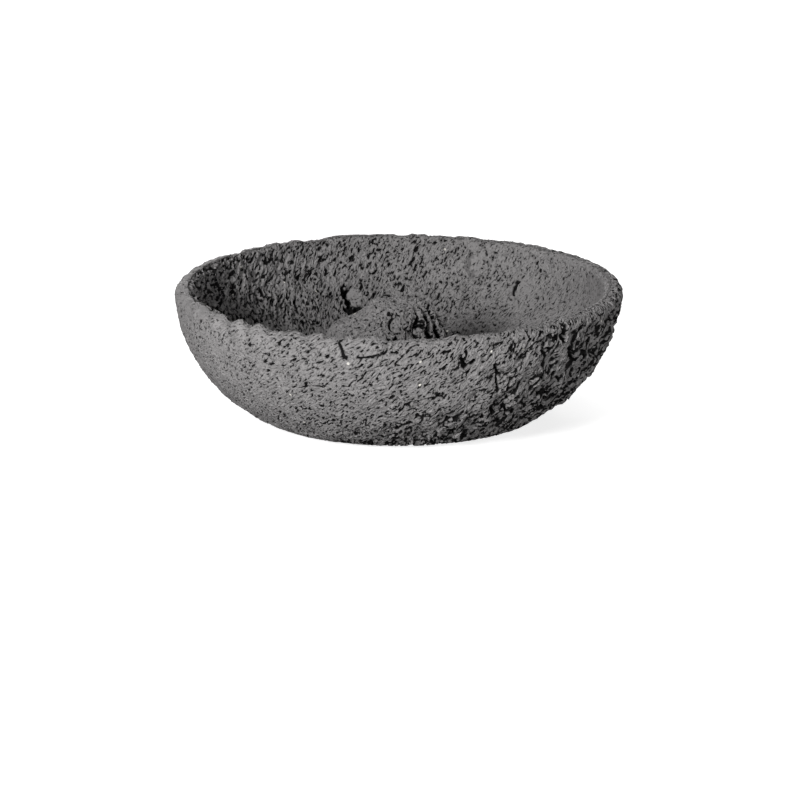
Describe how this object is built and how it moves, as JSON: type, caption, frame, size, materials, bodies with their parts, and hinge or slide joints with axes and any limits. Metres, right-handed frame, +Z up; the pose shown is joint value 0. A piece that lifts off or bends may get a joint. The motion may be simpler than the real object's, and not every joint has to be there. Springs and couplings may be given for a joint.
{
  "type": "incense stick holder",
  "caption": "Rough cast-stone bowl that catches ash, with a small rock mound standing inside it whose bore holds an incense stick upright.",
  "frame": {"origin": "on the table, under the centre of the bowl and of the stick's bore", "axes": "+Z up along the bore, +X to the right and -Y towards the viewer of the picture"},
  "size_m": [0.098, 0.098, 0.029],
  "materials": {
    "bowl_stone": "rough, porous and dull, as cast",
    "mound_stone": "rough and dull, with split ridges",
    "mortar": "fine, dull cement",
    "pad_rubber": "matte black"
  },
  "bodies": {
    "root": {"bowl": "bowl_stone", "stick_mound": "mound_stone", "mortar_bed": "mortar", "foot_pad_1": "pad_rubber", "foot_pad_2": "pad_rubber", "foot_pad_3": "pad_rubber"}
  },
  "joints": []
}
